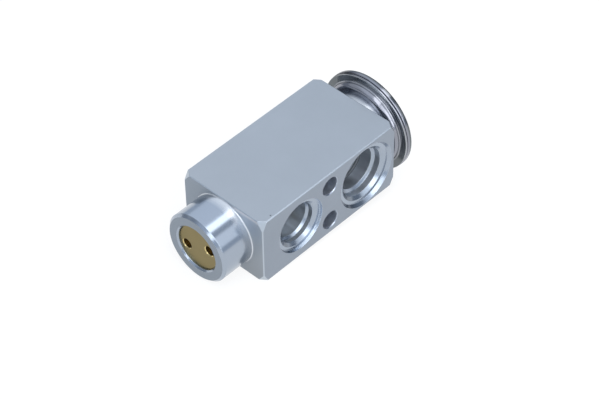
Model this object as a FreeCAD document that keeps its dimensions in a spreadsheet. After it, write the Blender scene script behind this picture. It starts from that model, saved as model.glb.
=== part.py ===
"""Block-type thermostatic expansion valve: a drilled block with a power head and an adjusting screw.

Frame: origin at the middle of the block, halfway between the two mounting holes, on the valve axis.
+X runs along the valve axis towards the power head, -Y is the front port face, +Z is up.
"""
import FreeCAD, Part
import math
import os

import Sketcher

# Driving sizes in millimetres: name, value and what it measures
SIZES = (
    ("block_length", 60.0, "block along the valve axis"),
    ("block_width", 33.6, "block from the front port face to the rear port face"),
    ("block_depth", 25.66, "block across its two plain faces"),
    ("edge_break", 0.3, "small chamfer along the block's edges"),
    ("corner_cut", 2.04, "the turned cone at each end face takes this much off the block's half diagonal"),
    ("boss_length", 12.2, "adjusting boss beyond the block"),
    ("boss_step", 0.59, "the boss's outside lies this far inside the block's plain faces"),
    ("boss_chamfer", 0.9, "chamfer at the free end of the boss"),
    ("boss_root", 0.28, "flare where the boss meets the block"),
    ("collar_length", 2.6, "turned collar under the power head"),
    ("collar_step", 0.53, "the collar's outside lies this far inside the block's plain faces"),
    ("bolt_wall", 2.28, "wall between a mounting hole and the block's plain faces"),
    ("bolt_hole_radius", 3.2, "clearance hole for a 6 mm bolt"),
    ("bolt_hole_chamfer", 0.25, "chamfer at both mouths of a mounting hole"),
    ("inlet_rim_gap", 3.55, "from the middle to the edge of the front liquid port, towards the boss"),
    ("outlet_rim_gap", 2.5, "from the middle to the edge of the rear liquid port, towards the boss"),
    ("suction_offset", 16.77, "both suction ports from the middle, towards the head"),
    ("liquid_rim_radius", 9.7, "liquid port: mouth of the shallow recess"),
    ("liquid_rim_slope", 0.3, "liquid port: the recess narrows this much to its foot"),
    ("liquid_land_width", 1.2, "liquid port: width of the flat land"),
    ("liquid_lead_width", 1.2, "liquid port: the lead-in narrows this much to the seal bore"),
    ("liquid_shoulder_width", 0.7, "liquid port: the shoulder narrows this much to the inner bore"),
    ("liquid_rim_depth", 1.0, "liquid port: depth of the shallow recess"),
    ("liquid_lead_length", 0.9, "liquid port: length of the lead-in"),
    ("liquid_seal_length", 1.5, "liquid port: length of the seal bore"),
    ("liquid_shoulder_length", 0.8, "liquid port: length of the shoulder"),
    ("suction_side_wall", 0.85, "wall between a suction port's recess and the block's plain faces"),
    ("suction_rim_slope", 0.88, "suction port: the recess narrows this much to its foot"),
    ("suction_land_width", 1.2, "suction port: width of the flat land"),
    ("suction_lead_width", 1.2, "suction port: the lead-in narrows this much to the seal bore"),
    ("suction_shoulder_width", 1.1, "suction port: the shoulder narrows this much to the inner bore"),
    ("suction_rim_depth", 1.2, "suction port: depth of the shallow recess"),
    ("suction_lead_length", 1.0, "suction port: length of the lead-in"),
    ("suction_seal_length", 2.1, "suction port: length of the seal bore"),
    ("suction_shoulder_length", 0.6, "suction port: length of the shoulder"),
    ("suction_pipe_length", 4.6, "suction port: length of the inner bore"),
    ("suction_passage_step", 0.4, "the passage between the suction ports is this much narrower than them"),
    ("drill_slope", 0.6, "depth of a drill point for each unit of its radius"),
    ("chamber_radius", 6.5, "smooth spring chamber"),
    ("inlet_floor_gap", 0.9, "the inlet's straight bore stops this far outside the chamber"),
    ("outlet_floor_wall", 2.0, "wall between the rear liquid port's floor and the chamber"),
    ("screw_radius", 7.9, "outside of the adjusting screw's thread"),
    ("thread_clearance", 0.05, "radial clearance of a threaded or sliding fit"),
    ("boss_mouth_chamfer", 0.55, "chamfer at the boss's open mouth"),
    ("screw_recess", 1.0, "the screw's face lies this far inside the boss"),
    ("screw_head_length", 7.3, "threaded length of the adjusting screw"),
    ("screw_edge", 0.25, "chamfer at both ends of the screw's thread"),
    ("screw_travel_room", 1.4, "room behind the screw's thread"),
    ("screw_spigot_length", 5.3, "smooth spigot that carries the screw's seal"),
    ("screw_seal_setback", 1.8, "middle of the seal from the spigot's inner end"),
    ("screw_seal_section", 1.8, "section diameter of the screw's seal ring"),
    ("spring_pilot_radius", 3.6, "pilots that centre the spring on the screw and on the carrier"),
    ("screw_pilot_length", 2.6, "length of the screw's pilot"),
    ("spanner_hole_radius", 1.72, "blind spanner hole in the screw's face"),
    ("spanner_hole_setback", 2.77, "spanner hole's axis inside the thread's outside"),
    ("spanner_hole_depth", 2.6, "depth of a spanner hole"),
    ("spanner_hole_chamfer", 0.25, "chamfer at the mouth of a spanner hole"),
    ("spanner_hole_angle", 19.3, "turn of the line of spanner holes, in degrees, from +Y towards -Z"),
    ("outlet_passage_radius", 2.0, "outlet passage"),
    ("outlet_passage_edge", 0.2, "the outlet passage lies this far inside the edge of the rear port's floor"),
    ("outlet_passage_overshoot", 1.3, "the passage's straight bore runs this far past the valve axis"),
    ("seat_backing", 0.3, "metal between the outlet passage and the seat ring"),
    ("seat_ring_length", 2.0, "pressed seat ring"),
    ("seat_ring_radius", 3.4, "outside of the seat ring"),
    ("seat_pocket_lead", 0.9, "seat pocket beyond the ring, up to the chamber's drill point"),
    ("orifice_radius", 1.5, "orifice in the seat ring"),
    ("seat_mouth_radius", 2.5, "wide end of the seat ring's cone"),
    ("press_gap", 0.01, "radial gap left between pressed or touching round faces"),
    ("ball_radius", 2.4, "valve ball"),
    ("seat_gap", 0.03, "gap between ball and seat along the axis when shut"),
    ("valve_travel", 0.8, "full opening of the ball from its seat"),
    ("carrier_room", 1.5, "gap between the ball carrier's flange and the chamber"),
    ("carrier_lip_setback", 1.5, "front of the carrier behind the ball's middle"),
    ("carrier_flange_length", 2.6, "length of the carrier's flange"),
    ("carrier_pilot_length", 2.8, "length of the carrier's pilot"),
    ("damper_sheet", 0.25, "sheet of the vibration damper"),
    ("damper_room", 1.2, "gap between the damper's ring and the chamber"),
    ("damper_finger_length", 4.5, "length of a damper finger along the chamber wall"),
    ("damper_finger_width", 2.4, "width of a damper finger"),
    ("damper_fingers", 3, "number of damper fingers"),
    ("wall_clearance", 0.05, "sliding clearance of a damper finger at the chamber wall"),
    ("spring_wire", 1.2, "wire of the closing spring"),
    ("spring_pilot_gap", 0.12, "gap between the spring's inside and its pilots"),
    ("spring_active_turns", 3.0, "active turns of the closing spring"),
    ("closed_coil_gap", 0.06, "gap between a closed end turn and the next"),
    ("rod_radius", 1.2, "push rod"),
    ("rod_clearance", 0.05, "radial clearance of the rod in its bore"),
    ("rod_tip_radius", 0.9, "slender tip of the rod through the orifice"),
    ("rod_tip_length", 4.2, "length of that tip"),
    ("rod_socket_depth", 5.0, "depth of the rod's socket in the sensing shaft"),
    ("rod_seal_section", 1.5, "section diameter of the rod's seal ring"),
    ("rod_seal_gap", 0.02, "radial gap between the rod and its seal ring"),
    ("rod_seal_depth", 4.97, "depth of the rod seal's pocket under the suction passage"),
    ("backup_ring_length", 0.8, "backup ring over the rod's seal"),
    ("retainer_sheet", 0.35, "sheet of the push-in retainer"),
    ("retainer_dish", 0.45, "how far the retainer is dished"),
    ("retainer_bore_gap", 0.5, "radial gap between the retainer and the rod"),
    ("retainer_slots", 6, "slots in the retainer's edge"),
    ("retainer_slot_width", 0.6, "width of a retainer slot"),
    ("retainer_slot_depth", 0.45, "depth of a retainer slot from the edge"),
    ("shaft_radius", 3.2, "sensing shaft across the suction passage"),
    ("shaft_floor_gap", 0.5, "gap under the shaft at full opening"),
    ("shaft_edge", 0.3, "chamfer at the shaft's ends"),
    ("head_passage_step", 0.6, "the passage to the head is this much narrower than the suction passage"),
    ("neck_setback", 2.4, "outside of the neck's thread inside the collar's outside"),
    ("neck_length", 6.6, "threaded length of the neck in the block"),
    ("neck_floor_gap", 0.6, "gap between the neck's end and the floor of its bore"),
    ("neck_step", 0.7, "the step that carries the lower cover is this much inside the neck's thread"),
    ("neck_wall", 2.0, "wall of the neck inside that step"),
    ("neck_edge", 0.4, "chamfer at the neck's inner end"),
    ("head_seal_section", 1.3, "section diameter of the head's seal ring"),
    ("head_seal_gap", 0.03, "gap round the head's seal ring"),
    ("cover_sheet", 0.8, "sheet of both head covers"),
    ("cap_rim_length", 1.73, "the upper cover's rim is thicker than its sheet"),
    ("cap_rim_round", 0.5, "round at the outer edge of that rim"),
    ("rim_radius", 17.85, "rim of the upper cover, the widest piece"),
    ("rim_step", 0.1, "the lower cover's rim lies this far inside the upper one"),
    ("flange_width", 2.7, "flange of the lower cover outside its shoulder"),
    ("shoulder_length", 2.15, "lower cover from its base to its flange"),
    ("shoulder_straight", 0.05, "straight length between the shoulder's round and the round at the flange"),
    ("flange_root_round", 0.45, "round between shoulder and flange"),
    ("rim_flat", 0.04, "flat left between the rounds on a rim's edge"),
    ("diaphragm_sheet", 0.12, "diaphragm"),
    ("diaphragm_edge_setback", 0.9, "edge of the diaphragm inside the lower cover's rim"),
    ("diaphragm_wave_height", 0.22, "height of a diaphragm corrugation above or below its sheet"),
    ("diaphragm_waves", 2, "corrugations in the diaphragm"),
    ("diaphragm_wave_length", 1.5, "radial length of a corrugation"),
    ("diaphragm_flat", 0.45, "flat of the diaphragm between its waves and the lower cover"),
    ("stopper_bottom_gap", 0.2, "gap between the stopper and the lower cover at full opening"),
    ("stopper_boss_wall", 1.8, "wall of the boss under the stopper, round the shaft"),
    ("stopper_boss_length", 2.6, "length of that boss"),
    ("stopper_socket_depth", 2.0, "depth of the shaft's socket in the stopper"),
    ("contact_gap", 0.02, "gap left between touching faces of pieces that part"),
    ("dome_foot_setback", 3.0, "foot of the upper cover's dome inside its rim"),
    ("dome_slope_width", 5.8, "the dome narrows this much from its foot to its flat top"),
    ("dome_height", 3.0, "upper cover's dome above its flange"),
    ("dome_round", 1.3, "rounds at the foot and the top of the dome"),
    ("dimple_radius", 3.6, "dimple round the charge plug"),
    ("dimple_depth", 0.5, "depth of that dimple"),
    ("charge_hole_radius", 1.1, "charge hole in the upper cover"),
    ("plug_head_radius", 2.2, "head of the charge plug"),
    ("plug_head_length", 1.3, "height of that head"),
    ("plug_stem_length", 0.6, "stem of the plug"),
    ("plug_round", 0.7, "round on the plug's head"),
)

PARTS_FOLDER = "parts"
X_AXIS = FreeCAD.Vector(1, 0, 0)
EDGE_TOLERANCE = 1e-4


class Size:
    """A length with its number, for a first drawing, and its sheet expression, which binds it."""

    def __init__(self, value, text):
        self.value = float(value)
        self.text = text

    def __add__(self, other):
        other = as_size(other)
        return Size(self.value + other.value, f"({self.text} + {other.text})")

    def __sub__(self, other):
        other = as_size(other)
        return Size(self.value - other.value, f"({self.text} - {other.text})")

    def __mul__(self, other):
        other = as_size(other)
        return Size(self.value * other.value, f"({self.text} * {other.text})")

    def __truediv__(self, other):
        other = as_size(other)
        return Size(self.value / other.value, f"({self.text} / {other.text})")

    def __neg__(self):
        return Size(-self.value, f"(-1 * {self.text})")

    __radd__ = __add__
    __rmul__ = __mul__


def as_size(term):
    """A plain number as a size."""
    return term if isinstance(term, Size) else Size(term, repr(float(term)))


def root_of(term):
    """Square root of a size."""
    return Size(math.sqrt(term.value), f"sqrt({term.text})")


class Dims:
    """The driving sizes, each an attribute with the name of its cell."""

    def __init__(self, sheet):
        for name, _, _ in SIZES:
            setattr(self, name, Size(getattr(sheet, name), f"dims.{name}"))


def make_sheet(doc):
    """The spreadsheet that drives the model: name, value and note in each row."""
    sheet = doc.addObject("Spreadsheet::Sheet", "dims")
    for row, (name, value, note) in enumerate(SIZES, start=1):
        sheet.set(f"A{row}", name)
        sheet.set(f"B{row}", str(value))
        sheet.set(f"C{row}", note)
        sheet.setAlias(f"B{row}", name)
    doc.recompute()
    return sheet


def new_body(doc, name):
    """An empty body whose label is its node's name."""
    body = doc.addObject("PartDesign::Body", name)
    body.Label = name
    return body


def origin_plane(body, role):
    """One of a body's own origin planes."""
    return next(item for item in body.Origin.OriginFeatures if item.Role == role)


def new_sketch(body, name, role="XY_Plane", shift=None, lift=None):
    """A sketch on an origin plane; shift moves it along its own x, lift along its normal."""
    sketch = body.newObject("Sketcher::SketchObject", name)
    sketch.AttachmentSupport = (origin_plane(body, role), [""])
    sketch.MapMode = "FlatFace"
    if shift is not None:
        sketch.setExpression("AttachmentOffset.Base.x", shift.text)
    if lift is not None:
        sketch.setExpression("AttachmentOffset.Base.z", lift.text)
    return sketch


def bind_point(sketch, edge, point, x, y):
    """Tie one end of an edge, or the centre of a circle, to two sizes from the sketch's origin."""
    for kind, axis, size in (("DistanceX", -2, as_size(x)), ("DistanceY", -1, as_size(y))):
        if size.text == "0.0":
            sketch.addConstraint(Sketcher.Constraint("PointOnObject", edge, point, axis))
            continue
        index = sketch.addConstraint(Sketcher.Constraint(kind, -1, 1, edge, point, size.value))
        sketch.setExpression(f"Constraints[{index}]", size.text)


def draw_polygon(sketch, points):
    """A closed outline of straight edges, each corner bound to its two sizes."""
    places = [FreeCAD.Vector(as_size(x).value, as_size(y).value, 0) for x, y in points]
    count = len(places)
    for index in range(count):
        sketch.addGeometry(Part.LineSegment(places[index], places[(index + 1) % count]), False)
    for index in range(count):
        sketch.addConstraint(Sketcher.Constraint("Coincident", index, 2, (index + 1) % count, 1))
    for index, (x, y) in enumerate(points):
        bind_point(sketch, index, 1, x, y)


def draw_circle(sketch, x, y, radius):
    """A circle with its centre and radius bound."""
    centre = FreeCAD.Vector(as_size(x).value, as_size(y).value, 0)
    index = sketch.addGeometry(Part.Circle(centre, FreeCAD.Vector(0, 0, 1), radius.value), False)
    bind_point(sketch, index, 3, x, y)
    bound = sketch.addConstraint(Sketcher.Constraint("Radius", index, radius.value))
    sketch.setExpression(f"Constraints[{bound}]", radius.text)


def turn(body, name, points, axis="H_Axis", shift=None, cut=False):
    """Revolve an outline about the valve axis, or about a port's axis; cut takes it away."""
    sketch = new_sketch(body, f"{name}_outline", shift=shift)
    draw_polygon(sketch, points)
    before = body.Shape.Volume if cut else 0.0
    kind = "PartDesign::Groove" if cut else "PartDesign::Revolution"
    feature = body.newObject(kind, name)
    feature.Profile = sketch
    feature.ReferenceAxis = (sketch, [axis])
    feature.Angle = 360
    body.Document.recompute()
    if cut and feature.Shape.Volume >= before:
        raise RuntimeError(f"{name} cut nothing")
    return feature


def drill(body, name, role, circles, length, reverse=False, both_ways=False, lift=None):
    """Cut round holes from an origin plane."""
    sketch = new_sketch(body, f"{name}_outline", role, lift=lift)
    for x, y, radius in circles:
        draw_circle(sketch, x, y, radius)
    before = body.Shape.Volume
    pocket = body.newObject("PartDesign::Pocket", name)
    pocket.Profile = sketch
    pocket.setExpression("Length", length.text)
    pocket.Midplane = both_ways
    pocket.Reversed = reverse
    body.Document.recompute()
    if pocket.Shape.Volume >= before:
        raise RuntimeError(f"{name} cut nothing")
    return pocket


def round_edges(body, radius, along=None, off_axis=None):
    """Names of the circular edges with this radius, at a place along X and at a distance from the axis."""
    found = []
    for index, edge in enumerate(body.Shape.Edges, start=1):
        if not isinstance(edge.Curve, Part.Circle):
            continue
        if abs(edge.Curve.Radius - radius.value) > EDGE_TOLERANCE:
            continue
        centre = edge.Curve.Center
        if along is not None and abs(centre.x - along.value) > EDGE_TOLERANCE:
            continue
        from_axis = math.hypot(centre.y, centre.z)
        if off_axis is not None and abs(from_axis - off_axis.value) > EDGE_TOLERANCE:
            continue
        found.append(f"Edge{index}")
    if not found:
        raise RuntimeError(f"{body.Label} has no round edge of radius {radius.value}")
    return found


def dress(body, name, kind, size, edges):
    """A fillet or a chamfer on named edges of the body's last feature."""
    base = body.Tip
    feature = body.newObject(f"PartDesign::{kind}", name)
    feature.Base = (base, edges)
    feature.setExpression("Radius" if kind == "Fillet" else "Size", size.text)
    body.Document.recompute()
    return feature


def pattern_round_x(body, name, feature, count):
    """Repeat a feature evenly round the valve axis."""
    pattern = body.newObject("PartDesign::PolarPattern", name)
    pattern.Originals = [feature]
    axis = next(item for item in body.Origin.OriginFeatures if item.Role == "X_Axis")
    pattern.Axis = (axis, [""])
    pattern.Angle = 360
    pattern.setExpression("Occurrences", count.text)
    body.Tip = pattern
    body.Document.recompute()
    return pattern


def ring_on_axis(doc, name, middle, major, section):
    """A seal ring of round section on the valve axis."""
    ring = doc.addObject("Part::Torus", name)
    ring.Label = name
    ring.setExpression("Radius1", major.text)
    ring.setExpression("Radius2", section.text)
    ring.Placement = FreeCAD.Placement(FreeCAD.Vector(), FreeCAD.Rotation(FreeCAD.Vector(0, 1, 0), 90))
    ring.setExpression("Placement.Base.x", middle.text)
    return ring


class Port:
    """Stepped mouth of a port: shallow recess, flat land, lead-in, seal bore, shoulder and inner bore."""

    def __init__(self, rim, steps, lengths):
        slope, land_width, lead_width, shoulder_width = steps
        self.rim = rim
        self.foot = rim - slope
        self.land = self.foot - land_width
        self.seal = self.land - lead_width
        self.pipe = self.seal - shoulder_width
        self.rim_depth, lead_length, seal_length, shoulder_length = lengths
        self.seal_start = self.rim_depth + lead_length
        self.seal_end = self.seal_start + seal_length
        self.pipe_start = self.seal_end + shoulder_length

    def outline(self, face, side, floor):
        """Corners as radius and place along Y, closed by the floor's own corners."""
        return (
            (0, face * side), (self.rim, face * side), (self.foot, (face - self.rim_depth) * side),
            (self.land, (face - self.rim_depth) * side), (self.seal, (face - self.seal_start) * side),
            (self.seal, (face - self.seal_end) * side), (self.pipe, (face - self.pipe_start) * side)) + floor


class Layout:
    """Places along the valve axis and fitted radii, all worked out from the driving sizes."""

    def __init__(self, d):
        # Ends of the block and what is turned on them
        self.boss_end = -(d.block_length / 2) - d.boss_length
        self.block_low = -(d.block_length / 2)
        self.block_high = d.block_length / 2
        self.collar_end = self.block_high + d.collar_length
        self.half_width = d.block_width / 2
        self.half_depth = d.block_depth / 2
        half_diagonal = root_of(self.half_width * self.half_width + self.half_depth * self.half_depth)
        self.corner_cone = half_diagonal - d.corner_cut
        self.boss_radius = self.half_depth - d.boss_step
        self.collar_radius = self.half_depth - d.collar_step
        self.bolt_above = self.half_depth - d.bolt_wall - d.bolt_hole_radius

        # Ports: each radius steps in from the recess's mouth, each depth adds to the one before
        self.inlet_offset = d.liquid_rim_radius + d.inlet_rim_gap
        self.outlet_offset = d.liquid_rim_radius + d.outlet_rim_gap
        self.liquid = Port(
            d.liquid_rim_radius,
            (d.liquid_rim_slope, d.liquid_land_width, d.liquid_lead_width, d.liquid_shoulder_width),
            (d.liquid_rim_depth, d.liquid_lead_length, d.liquid_seal_length, d.liquid_shoulder_length))
        self.suction = Port(
            self.half_depth - d.suction_side_wall,
            (d.suction_rim_slope, d.suction_land_width, d.suction_lead_width, d.suction_shoulder_width),
            (d.suction_rim_depth, d.suction_lead_length, d.suction_seal_length, d.suction_shoulder_length))
        self.passage_offset = (self.outlet_offset - self.liquid.pipe + d.outlet_passage_radius
                               + d.outlet_passage_edge)
        self.suction_pipe_end = self.half_width - self.suction.pipe_start - d.suction_pipe_length
        self.suction_passage = self.suction.pipe - d.suction_passage_step

        # Adjusting screw and its bore
        self.screw_face = self.boss_end + d.screw_recess
        self.screw_shoulder = self.screw_face + d.screw_head_length
        self.bore_step = self.screw_shoulder + d.screw_travel_room
        self.thread_bore = d.screw_radius + d.thread_clearance
        self.spigot_radius = d.chamber_radius - d.thread_clearance
        self.spigot_end = self.screw_shoulder + d.screw_spigot_length
        self.screw_seal_middle = self.spigot_end - d.screw_seal_setback
        self.screw_seal_major = d.chamber_radius - d.thread_clearance - d.screw_seal_section / 2
        self.spanner_pitch = d.screw_radius - d.spanner_hole_setback

        # Seat, ball and carrier
        self.seat_ring_inner = -self.passage_offset - d.outlet_passage_radius - d.seat_backing
        self.seat_ring_outer = self.seat_ring_inner - d.seat_ring_length
        self.seat_pocket = d.seat_ring_radius + d.press_gap
        self.seat_pocket_mouth = self.seat_ring_outer - d.seat_pocket_lead
        self.chamber_floor = self.seat_pocket_mouth - (d.chamber_radius - self.seat_pocket) * d.drill_slope
        self.cone_apex = self.seat_ring_outer + d.seat_mouth_radius
        self.ball_middle = self.cone_apex - d.ball_radius * math.sqrt(2) - d.seat_gap
        self.carrier_apex = self.ball_middle - (d.ball_radius + d.press_gap) * math.sqrt(2)
        self.carrier_front = self.ball_middle - d.carrier_lip_setback
        self.carrier_back = self.carrier_front - d.carrier_flange_length
        self.carrier_radius = d.chamber_radius - d.carrier_room
        self.damper_back = self.carrier_back - d.damper_sheet
        self.damper_ring = d.chamber_radius - d.damper_room
        reach = d.chamber_radius - d.wall_clearance
        half_finger = d.damper_finger_width / 2
        self.finger_outside = root_of(reach * reach - half_finger * half_finger)
        self.spring_coil = d.spring_pilot_radius + d.spring_pilot_gap + d.spring_wire / 2

        # Push rod, its seal pocket and the sensing shaft
        self.rod_bore = d.rod_radius + d.rod_clearance
        self.rod_tip = self.ball_middle + d.ball_radius
        self.rod_shoulder = self.rod_tip + d.rod_tip_length
        self.rod_seal_major = d.rod_radius + d.rod_seal_gap + d.rod_seal_section / 2
        self.seal_pocket = self.rod_seal_major + d.rod_seal_section / 2 + d.rod_seal_gap
        bore = self.suction_passage
        shaft = d.shaft_radius
        self.seal_floor = d.suction_offset - bore - d.rod_seal_depth
        self.seal_middle = self.seal_floor + d.rod_seal_section / 2
        self.backup_start = self.seal_floor + d.rod_seal_section
        self.retainer_start = self.backup_start + d.backup_ring_length
        self.shaft_foot = (d.suction_offset - root_of(bore * bore - shaft * shaft)
                           + d.valve_travel + d.shaft_floor_gap)
        self.rod_head = self.shaft_foot + d.rod_socket_depth
        self.head_passage = bore - d.head_passage_step

        # Neck, covers, diaphragm and stopper
        self.neck_radius = self.collar_radius - d.neck_setback
        self.neck_step = self.neck_radius - d.neck_step
        self.neck_inside = self.neck_step - d.neck_wall
        self.neck_bore = self.neck_radius + d.thread_clearance
        self.neck_end = self.collar_end - d.neck_length
        self.neck_bore_floor = self.neck_end - d.neck_floor_gap
        self.head_seal_major = self.neck_radius + d.head_seal_gap + d.head_seal_section / 2
        self.head_seal_bore = self.head_seal_major + d.head_seal_section / 2 + d.head_seal_gap
        self.head_seal_floor = self.collar_end - d.head_seal_section - d.head_seal_gap * 2
        self.head_seal_middle = self.collar_end - d.head_seal_section / 2 - d.head_seal_gap
        self.cover_inside = self.collar_end + d.cover_sheet
        self.flange_low = self.collar_end + d.shoulder_length
        self.flange_high = self.flange_low + d.cover_sheet
        self.diaphragm_top = self.flange_high + d.diaphragm_sheet
        self.lower_rim = d.rim_radius - d.rim_step
        self.shoulder_radius = self.lower_rim - d.flange_width
        self.inner_shoulder = self.shoulder_radius - d.cover_sheet
        self.shoulder_round = d.shoulder_length - d.flange_root_round - d.shoulder_straight
        self.rim_round = (d.cover_sheet - d.rim_flat) / 2
        self.dome_foot = d.rim_radius - d.dome_foot_setback
        self.dome_top_radius = self.dome_foot - d.dome_slope_width
        self.stopper_radius = (self.inner_shoulder - d.diaphragm_flat
                               - d.diaphragm_waves * d.diaphragm_wave_length)
        self.stopper_boss = d.shaft_radius + d.stopper_boss_wall
        self.diaphragm_edge = self.lower_rim - d.diaphragm_edge_setback
        self.rim_top = self.diaphragm_top + d.cap_rim_length
        self.stopper_low = self.cover_inside + d.valve_travel + d.stopper_bottom_gap
        self.stopper_top = self.flange_high - d.contact_gap
        self.stopper_boss_end = self.stopper_low - d.stopper_boss_length
        self.shaft_head = self.stopper_boss_end + d.stopper_socket_depth
        self.dome_top = self.rim_top + d.dome_height
        self.dimple_floor = self.dome_top - d.dimple_depth


def make_valve_block(doc, d, at):
    """The block: sawn bar with a turned boss and collar, four ports, two bolt holes and the stepped bore."""
    body = new_body(doc, "valve_block")
    bar = new_sketch(body, "bar_section", "YZ_Plane")
    draw_polygon(bar, ((-at.half_width, -at.half_depth), (at.half_width, -at.half_depth),
                       (at.half_width, at.half_depth), (-at.half_width, at.half_depth)))
    pad = body.newObject("PartDesign::Pad", "bar")
    pad.Profile = bar
    pad.setExpression("Length", d.block_length.text)
    pad.Midplane = True
    doc.recompute()
    dress(body, "broken_edges", "Chamfer", d.edge_break,
          [f"Edge{index}" for index in range(1, len(pad.Shape.Edges) + 1)])

    # The tool that turns each end sweeps a 45 degree cone, which takes the bar's four corners off
    reach = d.block_width
    cone = at.corner_cone
    ends = (("boss_end_corners", at.block_low, 1.0), ("head_end_corners", at.block_high, -1.0))
    for name, end, inward in ends:
        outside = end - d.edge_break * inward
        turn(body, name, ((outside, cone - d.edge_break), (end + reach * inward, cone + reach),
                          (outside, cone + reach)), cut=True)

    overlap = d.collar_length
    turn(body, "boss", (
        (at.block_low + overlap, 0), (at.block_low + overlap, at.boss_radius),
        (at.block_low, at.boss_radius + d.boss_root), (at.block_low - d.boss_root, at.boss_radius),
        (at.boss_end + d.boss_chamfer, at.boss_radius), (at.boss_end, at.boss_radius - d.boss_chamfer),
        (at.boss_end, 0)))
    turn(body, "collar", (
        (at.block_high - overlap, 0), (at.block_high - overlap, at.collar_radius),
        (at.collar_end, at.collar_radius), (at.collar_end, 0)))
    cut_main_bore(body, d, at)
    cut_ports(body, d, at)
    cut_bolt_holes(body, d, at)
    return body


def cut_bolt_holes(body, d, at):
    """Two holes right through between the ports, with a small chamfer at each mouth."""
    above = at.bolt_above
    circles = ((0, above, d.bolt_hole_radius), (0, -above, d.bolt_hole_radius))
    drill(body, "bolt_holes", "XZ_Plane", circles, d.block_width * 2, both_ways=True)
    mouth = root_of(above * above + at.half_width * at.half_width)
    dress(body, "bolt_hole_mouths", "Chamfer", d.bolt_hole_chamfer,
          round_edges(body, d.bolt_hole_radius, off_axis=mouth))


def cut_main_bore(body, d, at):
    """The stepped bore on the valve axis, from the boss's thread to the seat, then rod, seal and head."""
    outside = at.boss_end - d.boss_mouth_chamfer
    turn(body, "spring_chamber", (
        (outside, 0), (outside, at.thread_bore + d.boss_mouth_chamfer * 2),
        (at.boss_end + d.boss_mouth_chamfer, at.thread_bore), (at.bore_step, at.thread_bore),
        (at.bore_step, d.chamber_radius), (at.chamber_floor, d.chamber_radius),
        (at.seat_pocket_mouth, at.seat_pocket), (at.seat_ring_inner, at.seat_pocket),
        (at.seat_ring_inner, d.orifice_radius), (-at.passage_offset, d.orifice_radius),
        (-at.passage_offset, 0)), cut=True)
    turn(body, "rod_bore", (
        (-at.passage_offset, 0), (-at.passage_offset, at.rod_bore),
        (at.seal_floor, at.rod_bore), (at.seal_floor, at.seal_pocket),
        (d.suction_offset, at.seal_pocket), (d.suction_offset, 0)), cut=True)
    mouth = at.collar_end + d.edge_break
    turn(body, "head_bore", (
        (d.suction_offset, 0), (d.suction_offset, at.head_passage),
        (at.neck_bore_floor, at.head_passage), (at.neck_bore_floor, at.neck_bore),
        (at.head_seal_floor, at.neck_bore), (at.head_seal_floor, at.head_seal_bore),
        (mouth, at.head_seal_bore), (mouth, 0)), cut=True)


def cut_ports(body, d, at):
    """Two ports in the front face and two in the rear face, and the passage from the seat to the rear one."""
    liquid = at.liquid
    suction = at.suction

    # The inlet's drill point breaks into the spring chamber
    straight_end = d.chamber_radius + d.inlet_floor_gap
    floor = ((liquid.pipe, -straight_end), (0, liquid.pipe * d.drill_slope - straight_end))
    inlet = liquid.outline(at.half_width, -1.0, floor)
    turn(body, "liquid_inlet", inlet, "V_Axis", -at.inlet_offset, cut=True)

    outlet_floor = d.chamber_radius + d.outlet_floor_wall
    outlet = liquid.outline(at.half_width, 1.0, ((liquid.pipe, outlet_floor), (0, outlet_floor)))
    turn(body, "liquid_outlet", outlet, "V_Axis", -at.outlet_offset, cut=True)

    # The two suction ports are joined by a slightly narrower passage through the middle of the block
    end = at.suction_pipe_end
    suction_inlet = suction.outline(at.half_width, 1.0, ((suction.pipe, end), (0, end)))
    turn(body, "suction_inlet", suction_inlet, "V_Axis", d.suction_offset, cut=True)

    passage = at.suction_passage
    inside_inlet = end + d.suction_pipe_length / 2
    through = ((suction.pipe, -end), (passage, -end), (passage, inside_inlet), (0, inside_inlet))
    suction_outlet = suction.outline(at.half_width, -1.0, through)
    turn(body, "suction_outlet", suction_outlet, "V_Axis", d.suction_offset, cut=True)

    tip = d.outlet_passage_overshoot + d.outlet_passage_radius * d.drill_slope
    turn(body, "outlet_passage", (
        (0, outlet_floor), (d.outlet_passage_radius, outlet_floor),
        (d.outlet_passage_radius, -d.outlet_passage_overshoot), (0, -tip)),
        "V_Axis", -at.passage_offset, cut=True)


def make_adjusting_screw(doc, d, at):
    """Brass screw: threaded head with two spanner holes, grooved spigot and spring pilot."""
    body = new_body(doc, "adjusting_screw")
    groove_half = d.screw_seal_section / 2 + d.thread_clearance
    groove_floor = at.screw_seal_major - d.screw_seal_section / 2 - d.rod_seal_gap
    low = at.screw_seal_middle - groove_half
    high = at.screw_seal_middle + groove_half
    pilot_end = at.spigot_end + d.screw_pilot_length
    edge = d.screw_edge
    turn(body, "turned_screw", (
        (at.screw_face, 0), (at.screw_face, d.screw_radius - edge), (at.screw_face + edge, d.screw_radius),
        (at.screw_shoulder - edge, d.screw_radius), (at.screw_shoulder, d.screw_radius - edge),
        (at.screw_shoulder, at.spigot_radius), (low, at.spigot_radius), (low, groove_floor),
        (high, groove_floor), (high, at.spigot_radius), (at.spigot_end, at.spigot_radius),
        (at.spigot_end, d.spring_pilot_radius), (pilot_end - edge, d.spring_pilot_radius),
        (pilot_end, d.spring_pilot_radius - edge), (pilot_end, 0)))
    place = at.spanner_pitch
    turned = math.radians(d.spanner_hole_angle.value)
    angle = f"{d.spanner_hole_angle.text} * 1 deg"
    across = Size(place.value * math.cos(turned), f"({place.text} * cos({angle}))")
    down = Size(place.value * math.sin(turned), f"({place.text} * sin({angle}))")
    circles = ((across, -down, d.spanner_hole_radius), (-across, down, d.spanner_hole_radius))
    drill(body, "spanner_holes", "YZ_Plane", circles, d.spanner_hole_depth, reverse=True, lift=at.screw_face)
    dress(body, "spanner_hole_mouths", "Chamfer", d.spanner_hole_chamfer,
          round_edges(body, d.spanner_hole_radius, at.screw_face, place))
    return body


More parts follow.
